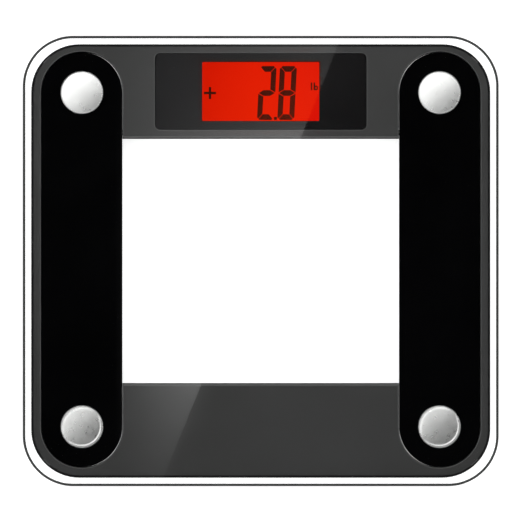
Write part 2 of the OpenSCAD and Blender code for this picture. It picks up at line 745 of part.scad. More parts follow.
glass_platform();
frame();
rail(-1);  // rail_left
rail(1);  // rail_right
rail_cover(-1);  // rail_cover_left
rail_cover(1);  // rail_cover_right
sensor_cap(-1, -1);  // sensor_cap_front_left
sensor_cap(-1, 1);  // sensor_cap_front_right
sensor_cap(1, -1);  // sensor_cap_rear_left
sensor_cap(1, 1);  // sensor_cap_rear_right
load_cell(-1, -1);  // load_cell_front_left
load_cell(-1, 1);  // load_cell_front_right
load_cell(1, -1);  // load_cell_rear_left
load_cell(1, 1);  // load_cell_rear_right
strain_gauges();
sensor_lead(-1, -1);  // sensor_lead_front_left
sensor_lead(-1, 1);  // sensor_lead_front_right
sensor_lead(1, -1);  // sensor_lead_rear_left
sensor_lead(1, 1);  // sensor_lead_rear_right
buffer(-1, -1);  // buffer_front_left
buffer(-1, 1);  // buffer_front_right
buffer(1, -1);  // buffer_rear_left
buffer(1, 1);  // buffer_rear_right
foot(-1, -1);  // foot_front_left
foot(-1, 1);  // foot_front_right
foot(1, -1);  // foot_rear_left
foot(1, 1);  // foot_rear_right
foot_pad(-1, -1);  // foot_pad_front_left
foot_pad(-1, 1);  // foot_pad_front_right
foot_pad(1, -1);  // foot_pad_rear_left
foot_pad(1, 1);  // foot_pad_rear_right
display_bezel();
lcd_glass();
lcd_polariser();
light_guide();
backlight_leds();
zebra_strips();
lcd_holder();
main_board();
controller_chip();
converter_chip();
board_connectors();
board_capacitors();
crystal();
unit_switch_body();
unit_switch_plunger();
unit_button();
battery_tray();
coin_cell(-1);  // coin_cell_front
coin_cell(1);  // coin_cell_rear
battery_contacts();
battery_door();
battery_leads();
bay_cover();
front_cover();
cover_screws(bay_posts);  // bay_cover_screws
cover_screws(front_posts);  // front_cover_screws
cover_screws(rail_screw_points);  // rail_cover_screws
cell_screws();
board_screws();
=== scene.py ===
# %% [markdown]
# # A digital bathroom scale
# The scale is a plate of tempered glass bonded to a moulded plastic frame. Two black rails inside the frame
# hold the sensors, and a red display shows through a dark bezel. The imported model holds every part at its
# real size, in metres, with the floor at z = 0 and +Y towards the display. This lesson keeps that model as
# a fixed frame and builds the finished surfaces round it, so the first step is to load it.

# %% Load the fixed frame
import json
import math

import bmesh
import bpy
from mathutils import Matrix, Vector

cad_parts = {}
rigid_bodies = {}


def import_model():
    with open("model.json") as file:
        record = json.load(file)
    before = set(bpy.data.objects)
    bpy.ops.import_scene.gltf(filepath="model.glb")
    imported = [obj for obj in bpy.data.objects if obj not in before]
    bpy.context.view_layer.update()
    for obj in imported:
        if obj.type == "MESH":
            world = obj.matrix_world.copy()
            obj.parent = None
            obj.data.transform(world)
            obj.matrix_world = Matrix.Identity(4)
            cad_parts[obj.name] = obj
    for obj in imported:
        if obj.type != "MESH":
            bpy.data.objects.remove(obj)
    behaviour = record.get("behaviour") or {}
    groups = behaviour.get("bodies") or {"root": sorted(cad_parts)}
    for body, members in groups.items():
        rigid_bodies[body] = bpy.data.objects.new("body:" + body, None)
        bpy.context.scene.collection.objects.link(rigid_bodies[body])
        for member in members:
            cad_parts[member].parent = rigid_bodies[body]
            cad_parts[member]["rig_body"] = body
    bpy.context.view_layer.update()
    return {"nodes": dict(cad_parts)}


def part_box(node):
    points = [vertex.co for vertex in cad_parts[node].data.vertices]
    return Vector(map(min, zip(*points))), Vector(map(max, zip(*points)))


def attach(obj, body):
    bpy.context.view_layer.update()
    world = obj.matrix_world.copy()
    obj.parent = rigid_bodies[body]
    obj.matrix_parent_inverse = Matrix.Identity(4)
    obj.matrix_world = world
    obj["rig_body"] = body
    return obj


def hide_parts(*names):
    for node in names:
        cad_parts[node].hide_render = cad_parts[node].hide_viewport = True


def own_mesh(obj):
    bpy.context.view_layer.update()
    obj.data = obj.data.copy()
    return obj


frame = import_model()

MM = 0.001
nodes = frame["nodes"]
scene = bpy.context.scene

# %% [markdown]
# ## Measures
# Every piece takes its place from the box of the part that it belongs to. The four sensors stand at the
# corners of the two rails, so their names and centres are kept together in one table.

# %% Where things are
CORNERS = ("front_left", "front_right", "rear_left", "rear_right")


def middle(node):
    """The centre of a part's box."""
    low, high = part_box(node)
    return (low + high) / 2


glass_low, glass_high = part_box("glass_platform")
frame_low, frame_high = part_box("frame")
display_at = middle("lcd_polariser")
sensor_at = {corner: middle(f"sensor_cap_{corner}") for corner in CORNERS}
print("glass:", [round(v / MM, 1) for v in glass_high - glass_low], "mm")

# %% [markdown]
# ## Finishes
# A real surface is never one flat colour. Its colour drifts a little from place to place, its gloss drifts
# with it, and under both lies a relief: the grain of a mould, the strokes of a polishing belt, the pores of
# rubber. One helper builds such a finish from three noise textures, each given its real size in metres. The
# relief goes through a Bump node whose distance is the real height of the grain, so the numbers can be
# reasoned about.

# %% A helper for finishes


def add_noise(tree, vector, size, detail=3.0):
    """A noise texture whose blotches are about size metres across."""
    noise = tree.nodes.new("ShaderNodeTexNoise")
    noise.inputs["Scale"].default_value = 1 / size
    noise.inputs["Detail"].default_value = detail
    tree.links.new(vector, noise.inputs["Vector"])
    return noise.outputs["Fac"]


def add_range(tree, value, low, high, start=0.3, end=0.7):
    """Spreads a noise, which mostly lies from 0.3 to 0.7, over low to high."""
    spread = tree.nodes.new("ShaderNodeMapRange")
    for name, number in (("From Min", start), ("From Max", end), ("To Min", low), ("To Max", high)):
        spread.inputs[name].default_value = number
    tree.links.new(value, spread.inputs["Value"])
    return spread.outputs["Result"]


def add_ramp(tree, value, stops):
    """Colours along a value: stops are (position, (red, green, blue))."""
    ramp = tree.nodes.new("ShaderNodeValToRGB")
    while len(ramp.color_ramp.elements) < len(stops):
        ramp.color_ramp.elements.new(0.5)
    for element, (position, colour) in zip(ramp.color_ramp.elements, stops):
        element.position = position
        element.color = (*colour, 1)
    tree.links.new(value, ramp.inputs["Fac"])
    return ramp.outputs["Color"]


def add_blend(tree, factor, first, second, way="MIX"):
    """Blends two colours, each a socket or a colour, through the colour sockets of a Mix node."""
    blend = tree.nodes.new("ShaderNodeMix")
    blend.data_type, blend.blend_type = "RGBA", way
    colour_a, colour_b = [socket for socket in blend.inputs if socket.type == "RGBA"]
    for value, socket in ((factor, blend.inputs["Factor"]), (first, colour_a), (second, colour_b)):
        if isinstance(value, bpy.types.NodeSocket):
            tree.links.new(value, socket)
        else:
            socket.default_value = value
    return next(socket for socket in blend.outputs if socket.type == "RGBA")


def add_math(tree, operation, first, second):
    """One sum on two values, each a socket or a number."""
    sum_node = tree.nodes.new("ShaderNodeMath")
    sum_node.operation = operation
    for value, socket in zip((first, second), sum_node.inputs):
        if isinstance(value, bpy.types.NodeSocket):
            tree.links.new(value, socket)
        else:
            socket.default_value = value
    return sum_node.outputs["Value"]


def add_relief(tree, shader, height, distance):
    """Raises the surface by up to distance metres where height is 1."""
    bump = tree.nodes.new("ShaderNodeBump")
    bump.inputs["Distance"].default_value = distance
    tree.links.new(height, bump.inputs["Height"])
    tree.links.new(bump.outputs["Normal"], shader.inputs["Normal"])


def finish(name, dark, light, patch, rough, grain, relief, stretch=(1, 1, 1), **sockets):
    """A finish: colour between dark and light, roughness in a range, and a grain of real size and height."""
    material = bpy.data.materials.new(name)
    material.use_nodes = True
    tree = material.node_tree
    shader = tree.nodes["Principled BSDF"]
    for socket, value in sockets.items():
        shader.inputs[socket.replace("_", " ")].default_value = value
    place = tree.nodes.new("ShaderNodeTexCoord")
    lie = tree.nodes.new("ShaderNodeMapping")
    lie.inputs["Scale"].default_value = stretch
    tree.links.new(place.outputs["Object"], lie.inputs["Vector"])
    blotches = add_noise(tree, lie.outputs["Vector"], patch)
    tree.links.new(add_ramp(tree, blotches, [(0.3, dark), (0.7, light)]), shader.inputs["Base Color"])
    wear = add_noise(tree, lie.outputs["Vector"], patch * 0.37, 6.0)
    tree.links.new(add_range(tree, wear, *rough), shader.inputs["Roughness"])
    add_relief(tree, shader, add_noise(tree, lie.outputs["Vector"], grain, 2.0), relief)
    return material


print("finishes are made of noise at real sizes")

# %% [markdown]
# ## Plastics
# The housings are black and charcoal plastic. Moulds for such parts are spark eroded, which leaves a fine
# matt grain about a third of a millimetre across on the outside, while the rails are left smooth and dark.
# The faces that are bonded to the glass carry a charcoal coat, a little lighter towards the display.

# %% Plastic finishes
finishes = {
    "frame_plastic": finish("frame_plastic", (0.0065, 0.0065, 0.007), (0.0105, 0.0105, 0.011), 0.03,
                            (0.42, 0.55), 0.00035, 0.00001, Specular_IOR_Level=0.12),
    "rail_plastic": finish("rail_plastic", (0.001, 0.001, 0.0012), (0.0018, 0.0018, 0.0021), 0.04,
                           (0.32, 0.42), 0.0009, 0.000002, Specular_IOR_Level=0.0),
    "cover_plastic": finish("cover_plastic", (0.022, 0.022, 0.023), (0.032, 0.032, 0.034), 0.025,
                            (0.5, 0.66), 0.00035, 0.000022, Specular_IOR_Level=0.4),
    "foot_plastic": finish("foot_plastic", (0.012, 0.012, 0.012), (0.02, 0.02, 0.02), 0.012,
                           (0.38, 0.55), 0.0003, 0.000012, Specular_IOR_Level=0.4),
    "bezel_lens": finish("bezel_lens", (0.0052, 0.0052, 0.0055), (0.0075, 0.0075, 0.008), 0.05,
                         (0.1, 0.16), 0.002, 0.000001, Specular_IOR_Level=0.12),
    "holder_plastic": finish("holder_plastic", (0.72, 0.72, 0.7), (0.82, 0.82, 0.8), 0.01,
                             (0.4, 0.5), 0.0004, 0.00001),
    "button_plastic": finish("button_plastic", (0.1, 0.1, 0.105), (0.14, 0.14, 0.145), 0.004,
                             (0.35, 0.5), 0.00025, 0.000012),
    "plunger_plastic": finish("plunger_plastic", (0.35, 0.02, 0.015), (0.45, 0.03, 0.02), 0.002,
                              (0.3, 0.4), 0.0002, 0.000004),
    "connector_nylon": finish("connector_nylon", (0.7, 0.66, 0.54), (0.8, 0.77, 0.66), 0.004,
                              (0.38, 0.5), 0.0002, 0.000006, Subsurface_Weight=0.1),
    "chip_epoxy": finish("chip_epoxy", (0.008, 0.008, 0.009), (0.018, 0.018, 0.019), 0.003,
                         (0.25, 0.45), 0.0006, 0.00002),
}
print("plastics:", len(finishes))

# %% [markdown]
# ## Rubber, silicone and wires
# The pads under the feet are matt rubber with pores. The buffers above them and the seal over each gauge
# are silicone, which lets some light into itself, so they get a little subsurface scattering. Wires have
# the long faint streaks of an extruded jacket.

# %% Soft finishes
finishes.update({
    "pad_rubber": finish("pad_rubber", (0.018, 0.018, 0.018), (0.034, 0.034, 0.033), 0.006,
                         (0.78, 0.92), 0.00025, 0.00003, Specular_IOR_Level=0.3),
    "buffer_silicone": finish("buffer_silicone", (0.62, 0.62, 0.58), (0.74, 0.74, 0.7), 0.003,
                              (0.45, 0.6), 0.0005, 0.00001, Subsurface_Weight=0.5, Subsurface_Scale=0.002),
    "gauge_silicone": finish("gauge_silicone", (0.75, 0.74, 0.7), (0.86, 0.85, 0.82), 0.004,
                             (0.25, 0.4), 0.0012, 0.00008, Subsurface_Weight=0.3, Subsurface_Scale=0.001),
    "zebra_rubber": finish("zebra_rubber", (0.05, 0.045, 0.05), (0.3, 0.24, 0.26), 0.0004,
                           (0.6, 0.75), 0.0003, 0.00001, stretch=(1, 0.01, 0.01)),
    "lead_insulation": finish("lead_insulation", (0.012, 0.012, 0.013), (0.025, 0.025, 0.027), 0.004,
                              (0.4, 0.55), 0.0004, 0.00001, stretch=(1, 0.2, 1)),
    "battery_lead_insulation": finish("battery_lead_insulation", (0.34, 0.012, 0.01), (0.45, 0.02, 0.016),
                                      0.003, (0.35, 0.5), 0.0004, 0.00001, stretch=(0.2, 1, 1)),
})
print("soft finishes done, in all:", len(finishes))

# %% [markdown]
# ## Metals
# The sensor caps are satin stainless steel, the load cells are rolled steel with strokes along their
# length, the contacts are bronze, and coin cells, screws and the crystal's can are nickel plated. A
# stretched noise gives the strokes of rolling and polishing.

# %% Metal finishes
finishes.update({
    "cap_steel": finish("cap_steel", (0.86, 0.86, 0.85), (0.92, 0.92, 0.91), 0.01,
                        (0.26, 0.34), 0.0006, 0.0000012, Metallic=1.0),
    "cell_steel": finish("cell_steel", (0.5, 0.51, 0.53), (0.62, 0.63, 0.65), 0.012,
                         (0.28, 0.45), 0.0004, 0.000006, stretch=(6, 0.5, 1), Metallic=1.0),
    "coin_steel": finish("coin_steel", (0.62, 0.61, 0.58), (0.72, 0.71, 0.68), 0.006,
                         (0.2, 0.36), 0.00015, 0.000002, Metallic=1.0),
    "contact_bronze": finish("contact_bronze", (0.6, 0.42, 0.2), (0.72, 0.54, 0.3), 0.004,
                             (0.22, 0.38), 0.0002, 0.000003, stretch=(1, 6, 1), Metallic=1.0),
    "screw_steel": finish("screw_steel", (0.5, 0.5, 0.5), (0.66, 0.66, 0.66), 0.0012,
                          (0.24, 0.42), 0.0002, 0.000006, Metallic=1.0),
    "can_metal": finish("can_metal", (0.6, 0.6, 0.6), (0.72, 0.72, 0.71), 0.003,
                        (0.2, 0.32), 0.0002, 0.000002, Metallic=1.0),
})
print("metals done, in all:", len(finishes))

# %% [markdown]
# ## Board, chips and glass
# The board is green lacquer over copper tracks, so its tracks are drawn by a square-cell Voronoi texture
# and raised by the height of the copper. The display's glass pair, its light guide and its lamps glow red.

# %% Electronic finishes
finishes.update({
    "capacitor_ceramic": finish("capacitor_ceramic", (0.42, 0.27, 0.14), (0.6, 0.44, 0.27), 0.0015,
                                (0.3, 0.5), 0.0003, 0.000008),
    "board_laminate": finish("board_laminate", (0.006, 0.075, 0.03), (0.01, 0.11, 0.045), 0.02,
                             (0.2, 0.32), 0.0004, 0.000004),
    "guide_acrylic": finish("guide_acrylic", (0.85, 0.2, 0.14), (0.95, 0.3, 0.22), 0.02,
                            (0.15, 0.25), 0.001, 0.000004, Emission_Color=(1.0, 0.05, 0.02, 1),
                            Emission_Strength=0.35),
    "led_resin": finish("led_resin", (0.9, 0.3, 0.22), (1.0, 0.45, 0.35), 0.001,
                        (0.2, 0.3), 0.0004, 0.000003, Emission_Color=(1.0, 0.1, 0.05, 1),
                        Emission_Strength=3.0),
    "display_glass": finish("display_glass", (0.6, 0.68, 0.66), (0.7, 0.76, 0.74), 0.03,
                            (0.05, 0.12), 0.004, 0.000001, Transmission_Weight=0.6, IOR=1.5),
})


def add_tracks(material):
    """Copper tracks under the board's lacquer: lighter green, raised 35 microns."""
    tree = material.node_tree
    shader = tree.nodes["Principled BSDF"]
    place = tree.nodes.new("ShaderNodeTexCoord")
    cells = tree.nodes.new("ShaderNodeTexVoronoi")
    cells.distance, cells.feature = "MANHATTAN", "F2"
    cells.inputs["Scale"].default_value = 260
    tree.links.new(place.outputs["Object"], cells.inputs["Vector"])
    track = add_range(tree, cells.outputs["Distance"], 0, 1, 0.75, 0.8)
    lacquer = shader.inputs["Base Color"].links[0].from_socket
    tree.links.new(add_blend(tree, track, lacquer, (0.03, 0.2, 0.08, 1)), shader.inputs["Base Color"])
    add_relief(tree, shader, track, 0.000035)


add_tracks(finishes["board_laminate"])
print("all finishes so far:", sorted(finishes))

# %% [markdown]
# ## The charcoal coat
# The faces of the frame that touch the glass are coated charcoal. The coat is painted a touch lighter at the
# display end, as painted light, and carries a faint metallic fleck. It is glossy, because the adhesive film
# makes it optically smooth. A gradient needs a straight run of numbers, so the Y coordinate of the object is
# used, not a noise. Round the openings the coat rolls over the edge, which is matt and gets a lighter finish
# of its own: a painted highlight along the edge.

# %% The coat under the glass
coat = finish("frame_coat", (0.060, 0.060, 0.0593), (0.068, 0.068, 0.068), 0.05,
              (0.015, 0.035), 0.0009, 0.0000003, Specular_IOR_Level=0.9)


def paint_light_along(material, axis, start, low, end, high):
    """Paints light and shade: multiplies a finish's colour by low at start and by high at end, both places
    along an axis.
    """
    tree = material.node_tree
    shader = tree.nodes["Principled BSDF"]
    place = tree.nodes.new("ShaderNodeTexCoord")
    split = tree.nodes.new("ShaderNodeSeparateXYZ")
    tree.links.new(place.outputs["Object"], split.inputs["Vector"])
    factor = add_range(tree, split.outputs[axis], low, high, start, end)
    colour = shader.inputs["Base Color"].links[0].from_socket
    tree.links.new(add_blend(tree, 1, colour, factor, "MULTIPLY"), shader.inputs["Base Color"])


bezel_low, bezel_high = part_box("display_bezel")
# Painted light: the coat's colour is lighter towards the display end.
paint_light_along(coat, "Y", frame_low.y, 0.92, frame_high.y, 1.12)
# Painted shade: the caps' steel colour is darker towards the front.
paint_light_along(finishes["cap_steel"], "Y", frame_low.y, 0.79, frame_high.y, 1.06)
# Painted reflection: the bezel's colour is lighter towards its left side.
paint_light_along(finishes["bezel_lens"], "X", bezel_low.x, 1.8, bezel_high.x, 0.85)
# Painted highlight: a lighter grey for the first rounded step round the openings.
painted_highlight_coat = finish("frame_painted_highlight", (0.12, 0.12, 0.12), (0.145, 0.145, 0.144), 0.02, (0.5, 0.7), 0.0009,
                   0.0000006, Specular_IOR_Level=0.05)
print("coats:", coat.name, painted_highlight_coat.name)

# %% [markdown]
# ## Clear glass
# The platform is tempered float glass. A Principled shader with full transmission bends what is seen through
# it, and a thin absorption in its volume gives the faint green of a glass edge. Lamps have to reach what lies
# under the glass, so for shadow rays and for diffuse bounces the plate counts as clear. The ground edge sends
# almost nothing back up, so its faces get a second glass, less polished and nearly black: the black is
# painted shade for that dark edge.

# %% The glass finish
PASSED = 0.935


def glass_finish(name, tint, smear):
    """Clear or tinted glass whose polish varies by smear, and which lets lamps through."""
    material = bpy.data.materials.new(name)
    material.use_nodes = True
    tree = material.node_tree
    shader = tree.nodes["Principled BSDF"]
    shader.inputs["Base Color"].default_value = (*tint, 1)
    shader.inputs["Transmission Weight"].default_value = 1.0
    shader.inputs["IOR"].default_value = 1.5
    place = tree.nodes.new("ShaderNodeTexCoord")
    polish = add_noise(tree, place.outputs["Object"], 0.05, 4.0)
    tree.links.new(add_range(tree, polish, *smear), shader.inputs["Roughness"])
    add_relief(tree, shader, add_noise(tree, place.outputs["Object"], 0.12, 0.0), 0.000004)
    rays = tree.nodes.new("ShaderNodeLightPath")
    passing = add_math(tree, "MAXIMUM", rays.outputs["Is Shadow Ray"], rays.outputs["Is Diffuse Ray"])
    clear = tree.nodes.new("ShaderNodeBsdfTransparent")
    clear.inputs["Color"].default_value = (*[PASSED * part for part in tint], 1)
    both = tree.nodes.new("ShaderNodeMixShader")
    tree.links.new(passing, both.inputs["Fac"])
    tree.links.new(shader.outputs["BSDF"], both.inputs[1])
    tree.links.new(clear.outputs["BSDF"], both.inputs[2])
    output = tree.nodes["Material Output"]
    tree.links.new(both.outputs["Shader"], output.inputs["Surface"])
    absorb = tree.nodes.new("ShaderNodeVolumeAbsorption")
    absorb.inputs["Color"].default_value = (0.83, 0.91, 0.88, 1)
    absorb.inputs["Density"].default_value = 9.0
    tree.links.new(absorb.outputs["Volume"], output.inputs["Volume"])
    return material


finishes["clear_glass"] = glass_finish("clear_glass", (0.995, 0.995, 0.995), (0.0, 0.012))
painted_shade_glass = glass_finish("painted_shade_glass", (0.004, 0.006, 0.0055), (0.16, 0.28))
print("glass:", finishes["clear_glass"].name, painted_shade_glass.name)

# %% [markdown]
# ## The lit display
# The display's face is a red film with lamps behind its left edge. Light from an edge is uneven, so the
# glow is drawn as a ramp across the width, plus a slow drift. Liquid-crystal segments block nearly all of
# it.

# %% The lit face and its dark segments
BASE_SHARE = 0.12


def lit_finish(name, stops, strength, patch):
    """A film that glows in the colours of stops from its left edge to its right one, over a dark base."""
    base_low, base_high = [tuple(BASE_SHARE * part for part in stop[1]) for stop in (stops[0], stops[-1])]
    material = finish(name, base_low, base_high, patch, (0.3, 0.4), 0.0003, 0.000002)
    tree = material.node_tree
    shader = tree.nodes["Principled BSDF"]
    shader.inputs["Specular IOR Level"].default_value = 0
    place = tree.nodes.new("ShaderNodeTexCoord")
    split = tree.nodes.new("ShaderNodeSeparateXYZ")
    tree.links.new(place.outputs["Object"], split.inputs["Vector"])
    low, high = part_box("lcd_polariser")
    along = add_range(tree, split.outputs["X"], 0, 1, low.x, high.x)
    drift = add_range(tree, add_noise(tree, place.outputs["Object"], patch), -0.06, 0.06)
    glow = add_ramp(tree, add_math(tree, "ADD", along, drift), stops)
    tree.links.new(glow, shader.inputs["Emission Color"])
    shader.inputs["Emission Strength"].default_value = strength
    return material


RED_FILM = [(0.0, (0.61, 0.007, 0.0003)), (0.45, (0.72, 0.010, 0.0008)), (1.0, (0.69, 0.007, 0.002))]
SEGMENT_DYE = [(0.0, (0.006, 0.0035, 0.003)), (1.0, (0.008, 0.0045, 0.004))]
finishes["display_face"] = lit_finish("display_face", RED_FILM, 1.0, 0.03)
segment_dye = lit_finish("segment_dye", SEGMENT_DYE, 1.0, 0.004)
print("display finishes:", finishes["display_face"].name, segment_dye.name)

# %% [markdown]
# ## Making pieces
# Two helpers put a finished mesh in the scene. The first takes a new mesh, gives it its finish, lets it ride
# on a body of the imported model and hides the parts it stands for. The second starts from a packed part. Its
# triangles are loose, so a copy is merged and its flat faces are made whole, and then every sharp edge gets
# the small radius that a moulded or machined edge has. Without it an edge catches no light and looks like
# paper.

# %% Helpers for pieces


def add_piece(name, bm, materials, body="platform", stands_for=(), angle=35):
    """Turns a bmesh into a piece that rides on a body."""
    mesh = bpy.data.meshes.new(name)
    bm.to_mesh(mesh)
    bm.free()
    for material in materials:
        mesh.materials.append(material)
    mesh.shade_smooth()
    mesh.set_sharp_from_angle(angle=math.radians(angle))
    piece = bpy.data.objects.new(name, mesh)
    scene.collection.objects.link(piece)
    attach(piece, body)
    if stands_for:
        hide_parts(*stands_for)
    return piece


def even_normals(piece):
    """Lets the large flat faces decide the shading, so that rounded edges blend into them."""
    piece.modifiers.new("even normals", "WEIGHTED_NORMAL").keep_sharp = True


def merged_copy(node):
    """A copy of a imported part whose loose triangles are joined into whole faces."""
    bm = bmesh.new()
    bm.from_mesh(nodes[node].data)
    bmesh.ops.remove_doubles(bm, verts=bm.verts, dist=0.000002)
    bmesh.ops.dissolve_limit(bm, angle_limit=math.radians(0.4), verts=bm.verts, edges=bm.edges)
    return bm


def round_edges(bm, edge, sharp=35):
    """Rounds the edges sharper than sharp degrees by edge metres."""
    edges = [e for e in bm.edges if e.is_manifold and e.calc_face_angle() > math.radians(sharp)]
    bmesh.ops.bevel(bm, geom=edges, offset=edge, offset_type="OFFSET", affect="EDGES", segments=2,
                    profile=0.5, material=-1, clamp_overlap=True)


def body_of(node):
    """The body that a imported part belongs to."""
    return nodes[node]["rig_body"]


def slot_of(node):
    """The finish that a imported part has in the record."""
    return nodes[node].material_slots[0].material.name


def mould(node, edge):
    """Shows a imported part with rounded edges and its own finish."""
    slot = slot_of(node)
    bm = merged_copy(node)
    round_edges(bm, edge)
    piece = add_piece(f"{node}_moulded", bm, [finishes[slot]], body_of(node), [node])
    even_normals(piece)
    return piece


print("piece helpers ready")

# %% [markdown]
# ## The glass platform
# The plate could be left as packed, but its corners are made of flat facets, and glass shows every one of
# them. A cube scaled to the plate's box gives the blank. Bevelling its four upright edges rounds the corners,
# and bevelling both rims gives the ground 45 degree edge, which bends the view so strongly that it reads as a
# dark outline, and its near-black glass darkens that outline further as painted shade. It is drawn 1.6 mm
# wide. The imported plate has 1.2 mm, whose outline was too faint.

# %% Cut and grind the glass
CORNER_RADIUS = 33.5 * MM
GROUND = 1.6 * MM
CORNER_STEPS = 40


def upright(edge):
    """True for an edge that runs along Z."""
    a, b = (v.co for v in edge.verts)
    return abs(a.z - b.z) > 0.9 * (a - b).length


bm = bmesh.new()
bmesh.ops.create_cube(bm, size=1)
bmesh.ops.scale(bm, vec=glass_high - glass_low, verts=bm.verts)
bmesh.ops.translate(bm, vec=(glass_low + glass_high) / 2, verts=bm.verts)
bmesh.ops.bevel(bm, geom=[e for e in bm.edges if upright(e)], offset=CORNER_RADIUS, offset_type="OFFSET",
                affect="EDGES", segments=CORNER_STEPS, profile=0.5, material=-1)
rims = [e for e in bm.edges if not upright(e)]
ground = bmesh.ops.bevel(bm, geom=rims, offset=GROUND, offset_type="OFFSET", affect="EDGES", segments=1,
                         profile=0.5, material=-1)
# Painted shade: the ground faces take the near-black glass.
for face in ground["faces"]:
    face.material_index = 1
glass = add_piece("glass_plate", bm, [finishes["clear_glass"], painted_shade_glass],
                  stands_for=["glass_platform"], angle=20)
print("glass faces:", len(glass.data.polygons))

# %% [markdown]
# ## Frame and rails
# The frame and the rails are moulded boxes that are open below. The frame's top faces get the charcoal coat
# as a second finish. They are found by their height and by facing up. Their rims are rounded by a wider bevel
# in three steps. Round the openings the first step carries a lighter grey, a painted highlight, and the rest
# stays bare black plastic, which draws a light line beside a dark one. Along the outline the whole bevel is
# bare and draws one dark line.

# %% Mould the frame and the rails
COAT_ROUND = 0.8 * MM
OUTLINE_R = CORNER_RADIUS - (glass_high.x - frame_high.x)


def inside_outline(at, inset):
    """True where a point lies more than inset inside the frame's rounded outline."""
    core_x = max(abs(at.x) - frame_high.x + OUTLINE_R, 0)
    core_y = max(abs(at.y) - frame_high.y + OUTLINE_R, 0)
    return Vector((core_x, core_y)).length < OUTLINE_R - inset


def is_bonded(face):
    """True for a face that the glass is bonded to."""
    return face.normal.z > 0.99 and face.calc_center_median().z > frame_high.z - 0.05 * MM


bm = merged_copy("frame")
rims = [e for e in bm.edges if len(e.link_faces) == 2 and sum(is_bonded(f) for f in e.link_faces) == 1]
bmesh.ops.bevel(bm, geom=rims, offset=COAT_ROUND, offset_type="OFFSET", affect="EDGES", segments=3,
                profile=0.5, material=-1, clamp_overlap=True)
round_edges(bm, 0.25 * MM)
bm.normal_update()
for face in bm.faces:
    at = face.calc_center_median()
    if is_bonded(face):
        face.material_index = 1
    # Painted highlight: the near-flat rim faces inside the outline take the lighter edge finish.
    elif face.normal.z > 0.85 and at.z > frame_high.z - COAT_ROUND and inside_outline(at, 3 * MM):
        face.material_index = 2
frame_piece = add_piece("frame_moulded", bm, [finishes["frame_plastic"], coat, painted_highlight_coat],
                        stands_for=["frame"])
for polygon in frame_piece.data.polygons:
    if polygon.material_index:
        polygon.use_smooth = False
even_normals(frame_piece)
for side in ("left", "right"):
    mould(f"rail_{side}", 0.25 * MM)
print("coated faces:", sum(f.material_index > 0 for f in frame_piece.data.polygons))

# %% [markdown]
# ## Sensor caps
# Each cap is a pressed steel disc with a shallow crown, a fine groove near its rim and a rolled edge. A round
# part like this is drawn once as half a section and spun a full turn. The crown spreads the reflection of the
# room into a soft gradient, which a flat disc would not have. The two front crowns lean by about 2.4 degrees,
# so that they mirror a darker part of the room than the rear ones, and the steel's colour is also painted
# darker towards the front, as painted shade. A leaning dome rises on one side, so it is set lower to stay
# within the imported cap.

# %% Spin the caps
CAP_STEPS = 96


def spin_section(points, steps=CAP_STEPS):
    """Spins a half section, given as (radius, height) in millimetres, into a closed solid about Z."""
    bm = bmesh.new()
    chain = [bm.verts.new((radius * MM, 0, height * MM)) for radius, height in points]
    for a, b in zip(chain, chain[1:]):
        bm.edges.new((a, b))
    bmesh.ops.spin(bm, geom=bm.verts[:] + bm.edges[:], cent=(0, 0, 0), axis=(0, 0, 1), angle=math.tau,
                   steps=steps, use_merge=True, use_duplicate=False)
    bmesh.ops.remove_doubles(bm, verts=bm.verts, dist=0.000001)
    bmesh.ops.recalc_face_normals(bm, faces=bm.faces)
    return bm


def crown(radius, base, rise, rings):
    """Points of a shallow dome, from its middle out to radius."""
    return [(radius * k / rings, base + rise * (1 - (k / rings) ** 2)) for k in range(rings + 1)]


CAP_RISE = 0.62
DOME_DROP = 0.13
CAP_LEAN = {"front": 0.042, "rear": 0.0}
LEAN_WAY = Vector((-1, 1.15, 0)).normalized()
for corner in CORNERS:
    low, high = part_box(f"sensor_cap_{corner}")
    radius, thick = (high.x - low.x) / 2 / MM, (high.z - low.z) / MM
    section = [(0, 0), (radius - 0.25, 0), (radius, 0.25), (radius, 0.42), (radius - 0.08, 0.48),
               (radius - 0.85, 0.78), (radius - 0.95, thick - CAP_RISE)]
    lean = CAP_LEAN[corner.split("_")[0]]
    dome = thick - CAP_RISE - (DOME_DROP if lean else 0)
    section += crown(radius - 0.95, dome, CAP_RISE, 14)[-2::-1]
    bm = spin_section(section)
    for v in bm.verts:
        if v.co.xy.length < (radius - 0.96) * MM and v.co.z > dome * MM:
            v.co.z += lean * v.co.dot(LEAN_WAY)
    bmesh.ops.translate(bm, vec=(sensor_at[corner].x, sensor_at[corner].y, low.z), verts=bm.verts)
    cap = add_piece(f"cap_{corner}", bm, [finishes["cap_steel"]],
                    stands_for=[f"sensor_cap_{corner}"], angle=50)
print("cap faces:", len(cap.data.polygons))

# %% [markdown]
# ## Display: bezel and reading
# The bezel is a dark window frame with a small moulded edge. Behind it the reading is made of segments. A
# seven-segment digit is seven bars whose ends are mitred, so that neighbours nearly touch with a hair of
# light between them. Each bar starts as a few corner points, becomes a face, and is extruded to the
# thickness of the liquid crystal's print. The digits lean by 2.9 degrees.

# %% Bars of a seven-segment digit
DIGIT_W, DIGIT_H = 11.3, 35.9
STROKE_X, STROKE_Y = 3.45, 3.8
CUT, GAP, TIP = 1.7, 0.22, 0.35
LEAN = math.tan(math.radians(2.9))
half_w, half_h = DIGIT_W / 2, DIGIT_H / 2

